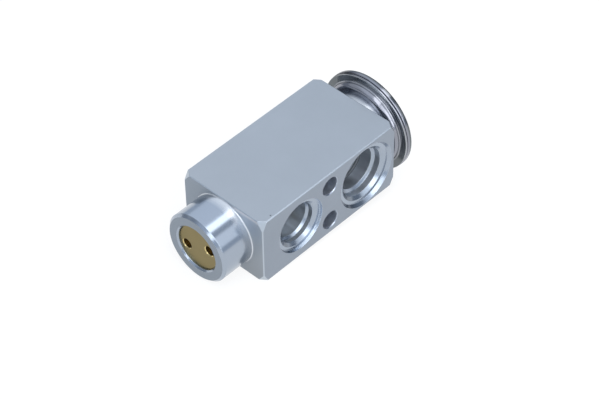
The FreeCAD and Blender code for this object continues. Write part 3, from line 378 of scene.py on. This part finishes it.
class BlockZones:
    """Shares of the block that are faced, turned, bored and drilled, and the lines that each tool left."""

    def __init__(self, tree):
        self.radius = tree.distance(tree.y, tree.z)
        self.beyond = tree.minus(tree.absolute(tree.x), BLOCK_HALF_LENGTH)
        self.below = tree.minus(BLOCK_HIGH.y, tree.absolute(tree.y))
        self.faced = tree.over(self.beyond, ON_END)
        self.turned = tree.over(self.beyond, PAST_END)
        self.boss_face = tree.over(self.beyond, BOSS_LENGTH + ON_END)
        self.near_root = tree.fall(self.beyond, ROOT_REACH)
        self.boss_end = tree.under(tree.x, 0.0)
        self.face_lines = tree.lines(self.radius, FACE_LINES)
        self.turning = tree.lines(tree.plus(tree.x, self.radius), TURNING_LINES)
        self.find_holes(tree)
        self.find_depths(tree)

    def find_holes(self, tree):
        """The ports and bolt holes, with the ports' tool lines and the painted reflection streaks along their
        walls.
        """
        ports = 0.0
        self.boring = 0.0
        self.streaks = 0.0
        for centre, mouth, side in PORTS:
            along = tree.minus(tree.x, centre)
            reach = tree.distance(along, tree.z)
            same_side = tree.over(tree.math("MULTIPLY", tree.y, side), 0.0)
            near = tree.both(tree.under(reach, mouth), same_side)
            ports = tree.either(ports, near)
            self.boring = tree.blend(near, self.boring, tree.lines(tree.plus(tree.y, reach), BORING_LINES))
            turn = tree.math("ARCTAN2", tree.z, along)
            streaks = tree.lines(turn, PAINTED_REFLECTION_STREAKS, detail=PAINTED_REFLECTION_DETAIL)
            self.streaks = tree.blend(near, self.streaks, streaks)
        above = tree.minus(tree.absolute(tree.z), BOLT_ABOVE)
        bolts = tree.under(tree.distance(tree.x, above), BOLT_REACH)
        sunk = tree.over(self.below, SUNK)
        self.ports = tree.both(ports, sunk)
        self.bolts = tree.both(bolts, sunk)
        self.bored = tree.either(self.ports, self.bolts)

    def find_depths(self, tree):
        """Deep in the holes: a port past its lead-in, a bolt hole's wall, and behind the screw's face."""
        wall = tree.under(tree.absolute(tree.normal_y), WALL_LIMIT)
        self.step = tree.both(tree.over(self.below, STEP_DEPTH[0]), tree.under(self.below, STEP_DEPTH[1]))
        past_lead = tree.both(self.ports, tree.rise(self.below, LEAD_END), tree.either(wall, self.step))
        behind_screw = tree.both(tree.under(self.radius, BORE_REACH), tree.over(tree.x, SCREW_FACE))
        self.deep = tree.either(past_lead, tree.both(self.bolts, wall), behind_screw)
        self.machined = tree.either(self.turned, self.bored, behind_screw)


def block_height(tree, zones):
    """Drawn and sanded sides, faced ends, turned boss and collar, bored ports."""
    drawn = tree.noise(1.0, detail=4.0, stretch=DRAWN_LINES)
    cut = tree.blend(GRAIN_SHARE, drawn, tree.noise(GRAIN, detail=2.0))
    cut = tree.blend(zones.faced, cut, zones.face_lines)
    cut = tree.blend(zones.turned, cut, zones.turning)
    cut = tree.blend(zones.bored, cut, zones.boring)
    return tree.math("MULTIPLY", cut, tree.blend(zones.machined, BAR_MARKS, MACHINED_MARKS))


def bar_colour(tree):
    """Plain faces, and port faces painted darker than them as painted shade, both faintly clouded."""
    cloud = tree.spread(tree.noise(CLOUDS))
    plain = tree.mottle(cloud, PLAIN_ALUMINIUM, CLOUD_SHADES)
    painted_dark = tree.mottle(cloud, PORT_ALUMINIUM, CLOUD_SHADES)
    # Painted shade: port faces take a darker copy of the plain faces' colour, chosen by the face's direction
    return tree.tint(tree.over(tree.absolute(tree.normal_z), PLAIN_FACE_LIMIT), painted_dark, plain)


def end_colour(tree, zones):
    """End faces, with painted light towards the front and upwards, and a painted light patch and a painted
    highlight beside the boss.
    """
    upward = tree.rise(tree.z, PAINTED_LIGHT_UPWARDS)
    painted_light_end = tree.mottle(upward, PAINTED_LIGHT_END_ALUMINIUM, PAINTED_LIGHT_END_SHADES)
    ends = tree.tint(tree.fall(tree.y, PAINTED_LIGHT_ACROSS), shade(END_ALUMINIUM, FACE_SHADE), painted_light_end)
    # Painted light: a pale patch beside the boss, and a painted highlight along its top
    away = tree.distance(tree.minus(tree.y, PAINTED_LIGHT_PATCH_MIDDLE[0]), tree.minus(tree.z, PAINTED_LIGHT_PATCH_MIDDLE[1]))
    painted_light_patch = tree.both(tree.fall(away, PAINTED_LIGHT_PATCH_REACH), zones.boss_end)
    ends = tree.tint(painted_light_patch, ends, shade(END_ALUMINIUM, PAINTED_LIGHT_PATCH_SHADE))
    painted_highlight = tree.both(tree.rise(tree.z, PAINTED_HIGHLIGHT_HEIGHT), tree.fall(tree.y, PAINTED_HIGHLIGHT_ACROSS), zones.boss_end)
    return tree.tint(painted_highlight, ends, shade(PAINTED_HIGHLIGHT_ALUMINIUM))


def machined_colour(tree, zones):
    """Turned boss and collar, with painted light next to the end faces, and the bores down to their lead-ins
    with painted shade on one side and painted light on the other.
    """
    with_painted_light = tree.mottle(tree.spread(zones.turning), CLEAN_ALUMINIUM, RING_SHADES)
    # Painted light on turned metal next to the end faces
    with_painted_light = tree.tint(tree.both(zones.near_root, zones.turned), with_painted_light, shade(PAINTED_LIGHT_ALUMINIUM))
    with_painted_light = tree.tint(zones.boss_face, with_painted_light, shade(END_ALUMINIUM))
    # Painted shade on the bores' sides that face +X, and painted light on steep sides that face -X
    shaded = tree.both(zones.bored, tree.rise(tree.normal_x, SHADED_LIMITS))
    with_painted_light = tree.tint(shaded, with_painted_light, shade(CLEAN_ALUMINIUM, SHADED_SHADE))
    steep = tree.under(tree.absolute(tree.normal_y), STEEP_LIMIT)
    lit = tree.both(zones.bored, steep, tree.fall(tree.normal_x, LIT_LIMITS))
    return tree.tint(lit, with_painted_light, shade(CLEAN_ALUMINIUM, LIT_SHADE))


def deep_colour(tree, zones):
    """Metal deep in the holes, lightened as painted light, with painted reflection streaks along the bores
    and the step painted dark as painted shade.
    """
    # Painted reflections: streaks round each bore, with a little of the tool lines mixed in
    reflections_and_tool_marks = tree.rise(zones.streaks, PAINTED_REFLECTION_MIDDLE)
    reflections_and_tool_marks = tree.blend(TOOL_MARKS_SHARE, reflections_and_tool_marks, tree.spread(zones.boring))
    suction = tree.mottle(reflections_and_tool_marks, PAINTED_LIGHT_ALUMINIUM, SUCTION_STREAK_SHADES)
    liquid = tree.mottle(reflections_and_tool_marks, LIQUID_ALUMINIUM, LIQUID_SHADES)
    painted_light_deep = tree.tint(tree.over(tree.x, 0.0), liquid, suction)
    # Painted shade: the step in the suction bores is dark
    painted_light_deep = tree.tint(zones.step, painted_light_deep, shade(PAINTED_SHADE_STEP_ALUMINIUM))
    return tree.tint(zones.bolts, painted_light_deep, shade(PAINTED_LIGHT_BOLT_ALUMINIUM))


def block_colour(tree, zones):
    """The bar with a painted highlight on its edges, then what each tool cut, and the nick."""
    colour = tree.tint(zones.faced, bar_colour(tree), end_colour(tree, zones))
    # Painted highlight: edges and rounds that are not square to an axis get a lighter colour
    squareness = tree.either(*(tree.absolute(part) for part in (tree.normal_x, tree.normal_y, tree.normal_z)))
    colour = tree.tint(tree.under(squareness, SQUARE_LIMIT), colour, shade(EDGE_HIGHLIGHT_ALUMINIUM))
    colour = tree.tint(zones.machined, colour, machined_colour(tree, zones))
    colour = tree.tint(zones.deep, colour, deep_colour(tree, zones))
    away = tree.distance(tree.minus(tree.x, NICK_MIDDLE[0]), tree.minus(tree.y, NICK_MIDDLE[1]))
    nick = tree.both(tree.fall(away, NICK_REACH), tree.over(tree.z, NICK_ABOVE))
    return tree.tint(nick, colour, shade(NICK_DARK_MARK))


def block_roughness(tree, zones):
    """Satin bar and end faces, bright turned and bored metal, duller deep in the holes."""
    faced_satin = tree.spread(zones.face_lines, FACED_SATIN)
    turned_bright = tree.spread(zones.turning, TURNED_BRIGHT)
    deep_satin = tree.spread(zones.boring, DEEP_SATIN)
    rough = tree.blend(zones.faced, tree.spread(tree.noise(SATIN_CLOUDS), SATIN), faced_satin)
    rough = tree.blend(zones.turned, rough, tree.blend(zones.near_root, turned_bright, ROOT_ROUGHNESS))
    rough = tree.blend(zones.boss_face, rough, faced_satin)
    rough = tree.blend(zones.bored, rough, tree.spread(zones.boring, BORED_BRIGHT))
    return tree.blend(zones.deep, rough, tree.blend(zones.step, deep_satin, STEP_ROUGHNESS))


def finish_block():
    """The aluminium block, as drawn, sanded, faced, turned and bored."""
    tree = Tree("machined_aluminium", metallic=1.0)
    zones = BlockZones(tree)
    tree.bump(block_height(tree, zones), MARK_HEIGHT, edge=EDGE_ROUND)
    tree.coat(["valve_block"], block_colour(tree, zones), block_roughness(tree, zones))


# Turned pieces: shades, clouds and rings in cells a metre, the rings' share against the clouds, the rings'
# height, and the round of the edges
TURNED_SHADES = (0.93, 1.06)
TURNED_CLOUDS = 120.0
TURNED_CLOUD_DETAIL = 4.0
TURNED_RINGS = 8000.0
RINGS_SHARE = 0.4
RING_HEIGHT = 0.003 * MM
TURNED_EDGE = 0.08 * MM
# Brass: outside, painted light behind the screw's face, a painted highlight on slanted edges, and the limits
# of direction that tell those
BRASS = (0.224, 0.178, 0.073)
PAINTED_LIGHT_BRASS = (0.36, 0.27, 0.10)
PAINTED_HIGHLIGHT_BRASS = (0.62, 0.50, 0.24)
BRASS_ROUGHNESS = (0.30, 0.40)
CUT_ROUGHNESS = 0.14
CUT_LIMITS = (0.2, 0.95)
# Other metals: name, pieces, colour and roughness
TURNED_METALS = (
    ("ground_stainless", ("push_rod", "diaphragm", "rod_seal_retainer"), (0.52, 0.53, 0.55), (0.15, 0.25)),
    ("hard_steel", ("seat_ring", "valve_ball"), (0.40, 0.41, 0.43), (0.12, 0.20)),
    ("spring_steel", ("closing_spring", "vibration_damper"), (0.33, 0.34, 0.37), (0.22, 0.34)),
    ("plated_steel", ("head_neck",), (0.42, 0.43, 0.44), (0.26, 0.36)),
    ("shaft_aluminium", ("sensing_shaft", "diaphragm_stopper"), (0.42, 0.45, 0.50), (0.22, 0.32)),
)


def ringed(tree, scale):
    """Rings round the valve axis, and the share by which they and faint clouds shade a colour."""
    rings = tree.lines(tree.plus(tree.x, tree.distance(tree.y, tree.z)), scale)
    clouds = tree.noise(TURNED_CLOUDS, detail=TURNED_CLOUD_DETAIL)
    return rings, tree.spread(tree.blend(RINGS_SHARE, clouds, rings))


def finish_turned(name, nodes, colour, roughness):
    """Turned metal with rings in its colour, roughness and height."""
    tree = Tree(name, metallic=1.0)
    rings, share = ringed(tree, TURNED_RINGS)
    tree.bump(rings, RING_HEIGHT, edge=TURNED_EDGE)
    tree.coat(nodes, tree.mottle(share, colour, TURNED_SHADES), tree.spread(rings, roughness))


def finish_brass():
    """Turned brass, with painted light behind the screw's face, as in its blind holes, and a painted
    highlight on slanted edges.
    """
    tree = Tree("brass", metallic=1.0)
    rings, share = ringed(tree, TURNED_RINGS)
    colour = tree.mottle(share, BRASS, TURNED_SHADES)
    # Painted light behind the screw's face, in its blind holes
    colour = tree.tint(tree.rise(tree.x, BLIND_HOLE), colour, shade(PAINTED_LIGHT_BRASS))
    facing = tree.absolute(tree.normal_x)
    cut = tree.both(tree.over(facing, CUT_LIMITS[0]), tree.under(facing, CUT_LIMITS[1]))
    # Painted highlight on the slanted edges
    colour = tree.tint(cut, colour, shade(PAINTED_HIGHLIGHT_BRASS))
    tree.bump(rings, RING_HEIGHT, edge=TURNED_EDGE)
    rough = tree.blend(cut, tree.spread(rings, BRASS_ROUGHNESS), CUT_ROUGHNESS)
    tree.coat(["adjusting_screw", "ball_carrier"], colour, rough)


# Power head: bright stainless steel, and copies of it with a painted dark reflection, painted light and
# painted shade
STAINLESS = (0.285, 0.295, 0.335)
PAINTED_DARK_STAINLESS = (0.155, 0.17, 0.18)
PAINTED_LIGHT_STAINLESS = (0.44, 0.455, 0.47)
PAINTED_SHADE_STAINLESS = (0.062, 0.066, 0.078)
PAINTED_DARK_SHADES = (0.9, 1.1)
STAINLESS_ROUGHNESS = (0.12, 0.20)
DRAWN_RINGS = 6000.0


def finish_head():
    """Drawn stainless covers: a painted dark reflection on the flange with painted light but for its far side
    and underside, and a rim painted dark with painted shade on top and far side.
    """
    tree = Tree("drawn_stainless", metallic=1.0)
    radius = tree.distance(tree.y, tree.z)
    rings, share = ringed(tree, DRAWN_RINGS)
    bright = tree.mottle(share, STAINLESS, TURNED_SHADES)
    painted_dark = tree.mottle(share, PAINTED_DARK_STAINLESS, PAINTED_DARK_SHADES)
    # Painted light on the flange's near side and top; a painted dark reflection on the rest of it
    with_painted_light = tree.both(tree.fall(tree.y, FLANGE_FAR), tree.rise(tree.z, FLANGE_UNDER))
    on_flange = tree.both(tree.rise(radius, FLANGE_START), tree.under(tree.x, FLANGE_FACE))
    colour = tree.tint(on_flange, bright, tree.tint(with_painted_light, painted_dark, shade(PAINTED_LIGHT_STAINLESS)))
    on_rim = tree.over(radius, RIM_START)
    colour = tree.tint(tree.both(on_rim, tree.rise(tree.x, RIM_PAINTED_DARK)), colour, painted_dark)
    # Painted shade along the rim's top edge and all across its far side
    top_edge = tree.both(tree.rise(tree.x, RIM_EDGE), tree.rise(tree.z, RIM_TOP))
    painted_shade = tree.either(top_edge, tree.rise(tree.y, RIM_FAR))
    painted_shade = tree.both(painted_shade, on_rim, tree.over(tree.x, FLANGE_FACE))
    colour = tree.tint(painted_shade, colour, shade(PAINTED_SHADE_STAINLESS))
    tree.bump(rings, RING_HEIGHT, edge=TURNED_EDGE)
    tree.coat(["lower_cover", "upper_cover", "charge_plug"], colour, tree.spread(rings, STAINLESS_ROUGHNESS))


# Moulded pieces: clouds and grain in cells a metre, shades, and the grain's height
MOULDED_CLOUDS = 900.0
MOULDED_CLOUD_DETAIL = 4.0
MOULDED_GRAIN = 9000.0
MOULDED_SHADES = (0.85, 1.15)
MOULDED_HEIGHT = 0.01 * MM
# Their materials: name, pieces, colour and roughness
MOULDED = (
    ("seal_rubber", ("adjusting_screw_seal", "rod_seal", "head_seal"), (0.02, 0.02, 0.022), (0.44, 0.56)),
    ("white_plastic", ("rod_seal_backup_ring",), (0.75, 0.74, 0.70), (0.39, 0.51)),
)


def finish_moulded(name, nodes, colour, roughness):
    """Rubber or plastic with a faint grain."""
    tree = Tree(name, metallic=0.0)
    clouds = tree.noise(MOULDED_CLOUDS, detail=MOULDED_CLOUD_DETAIL)
    tree.bump(tree.noise(MOULDED_GRAIN), MOULDED_HEIGHT)
    tree.coat(nodes, tree.mottle(tree.spread(clouds), colour, MOULDED_SHADES), tree.spread(clouds, roughness))


def finish_all():
    """One finish for each kind of material on the part."""
    finish_block()
    finish_brass()
    finish_head()
    for name, nodes, colour, roughness in TURNED_METALS:
        finish_turned(name, nodes, colour, roughness)
    for name, nodes, colour, roughness in MOULDED:
        finish_moulded(name, nodes, colour, roughness)


# Floor: it touches the block's lower edge at the boss and the head's rim
FLOOR_NEAR = Vector((0.3 * MM - BLOCK_HALF_LENGTH, 0.0, BLOCK_LOW.z))
FLOOR_FAR = Vector((RIM_LOW.x + 0.73 * MM, 0.0, RIM_LOW.z - 0.01 * MM))
FLOOR_SIZE = 6.0
FLOOR_COLOUR = (0.86, 0.86, 0.86, 1.0)
FLOOR_WHITE = 1.04
FLOOR_SHARE = 0.8


def make_floor():
    """White floor under the head's rim and the block's edge; what is seen of it is mostly plain white."""
    bpy.ops.mesh.primitive_plane_add(size=FLOOR_SIZE)
    floor = bpy.context.object
    floor.name = "floor"
    slope = math.atan2(FLOOR_NEAR.z - FLOOR_FAR.z, FLOOR_FAR.x - FLOOR_NEAR.x)
    floor.rotation_euler = (0.0, slope, 0.0)
    floor.location = (FLOOR_NEAR + FLOOR_FAR) / 2
    material = bpy.data.materials.new("floor")
    material.use_nodes = True
    nodes = material.node_tree.nodes
    links = material.node_tree.links
    nodes.clear()
    output = nodes.new("ShaderNodeOutputMaterial")
    diffuse = nodes.new("ShaderNodeBsdfDiffuse")
    diffuse.inputs["Color"].default_value = FLOOR_COLOUR
    white = nodes.new("ShaderNodeEmission")
    white.inputs["Strength"].default_value = FLOOR_WHITE
    path = nodes.new("ShaderNodeLightPath")
    seen = path.outputs["Is Camera Ray"]
    for kind in ("Is Glossy Ray", "Is Transmission Ray"):
        either = nodes.new("ShaderNodeMath")
        either.operation = "MAXIMUM"
        links.new(seen, either.inputs[0])
        links.new(path.outputs[kind], either.inputs[1])
        seen = either.outputs[0]
    share = nodes.new("ShaderNodeMath")
    share.operation = "MULTIPLY"
    share.inputs[1].default_value = FLOOR_SHARE
    links.new(seen, share.inputs[0])
    mix = nodes.new("ShaderNodeMixShader")
    links.new(share.outputs[0], mix.inputs[0])
    links.new(diffuse.outputs[0], mix.inputs[1])
    links.new(white.outputs[0], mix.inputs[2])
    links.new(mix.outputs[0], output.inputs["Surface"])
    floor.data.materials.append(material)


# World: colour at the horizon and overhead, and how far up the second is full
WORLD_LOW = (0.62, 0.70, 0.82, 1.0)
WORLD_HIGH = (0.70, 0.78, 0.90, 1.0)
WORLD_HIGH_FROM = 0.8
# Its dark sides: colour, unit direction of the middle, and the cosines where it starts and is full
WORLD_SIDES = (
    ((0.32, 0.36, 0.42, 1.0), (-0.36, 0.92, 0.16), (0.62, 0.86)),
    ((0.22, 0.26, 0.32, 1.0), (0.95, -0.25, 0.19), (0.62, 0.84)),
)


def make_world():
    """Pale studio surround, a little darker at the horizon, with two dark sides."""
    world = bpy.data.worlds.new("studio")
    bpy.context.scene.world = world
    world.use_nodes = True
    nodes = world.node_tree.nodes
    links = world.node_tree.links
    way = nodes.new("ShaderNodeTexCoord").outputs["Generated"]
    split = nodes.new("ShaderNodeSeparateXYZ")
    links.new(way, split.inputs[0])
    ramp = nodes.new("ShaderNodeValToRGB")
    low, high = ramp.color_ramp.elements
    low.color = WORLD_LOW
    high.color = WORLD_HIGH
    high.position = WORLD_HIGH_FROM
    links.new(split.outputs["Z"], ramp.inputs[0])
    colour = ramp.outputs[0]
    for shadow, middle, spread in WORLD_SIDES:
        facing = nodes.new("ShaderNodeVectorMath")
        facing.operation = "DOT_PRODUCT"
        facing.inputs[1].default_value = middle
        links.new(way, facing.inputs[0])
        near = nodes.new("ShaderNodeMapRange")
        near.inputs["From Min"].default_value = spread[0]
        near.inputs["From Max"].default_value = spread[1]
        links.new(facing.outputs["Value"], near.inputs["Value"])
        side = nodes.new("ShaderNodeMix")
        side.data_type = "RGBA"
        side.inputs[MIX_COLOURS[1]].default_value = shadow
        links.new(near.outputs[0], side.inputs[MIX_SHARE])
        links.new(colour, side.inputs[MIX_COLOURS[0]])
        colour = side.outputs[MIXED_COLOUR]
    links.new(colour, nodes["Background"].inputs["Color"])


# Soft boxes round the valve axis: name, turn about it from +Z towards -Y, half width, and how far from square
# to it both ends lean towards +X, all in degrees, then radiance
LAMP_DISTANCE = 0.6
LAMP_COLOUR = (1.0, 0.995, 0.985)
LAMPS = (
    ("top_strip", 13.5, 10.5, -50.0, 43.0, 2.1),
    ("front_box", 59.5, 17.5, -20.0, 38.0, 0.75),
    ("rear_box", -34.0, 36.0, -43.0, 43.0, 0.3),
    ("near_box", 47.5, 20.5, -48.0, 9.0, 1.5),
    ("side_box", 77.0, 7.0, -20.0, 7.0, 2.2),
    ("low_box", 31.0, 17.0, -65.0, -54.0, 2.2),
)


def lean(degrees):
    """Offset on a lamp's plane of a direction that leans so far from square."""
    return LAMP_DISTANCE * math.tan(math.radians(degrees))


def make_lamps():
    """Area lamps parallel to the valve axis, facing it."""
    along = Vector((1.0, 0.0, 0.0))
    for name, turn, half, low, high, radiance in LAMPS:
        width = 2 * lean(half)
        length = lean(high) - lean(low)
        data = bpy.data.lights.new(name, "AREA")
        data.shape = "RECTANGLE"
        data.size = width
        data.size_y = length
        data.energy = radiance * math.pi * width * length
        data.color = LAMP_COLOUR
        lamp = bpy.data.objects.new(name, data)
        bpy.context.scene.collection.objects.link(lamp)
        angle = math.radians(turn)
        away = Vector((0.0, -math.sin(angle), math.cos(angle)))
        middle = away * LAMP_DISTANCE + along * (lean(low) + lean(high)) / 2
        axes = Matrix((along.cross(away), along, away)).transposed().to_4x4()
        lamp.matrix_world = Matrix.Translation(middle) @ axes
        lamp.visible_camera = False


make_camera()
finish_all()
make_floor()
make_world()
make_lamps()
bpy.context.scene.view_settings.view_transform = "Standard"
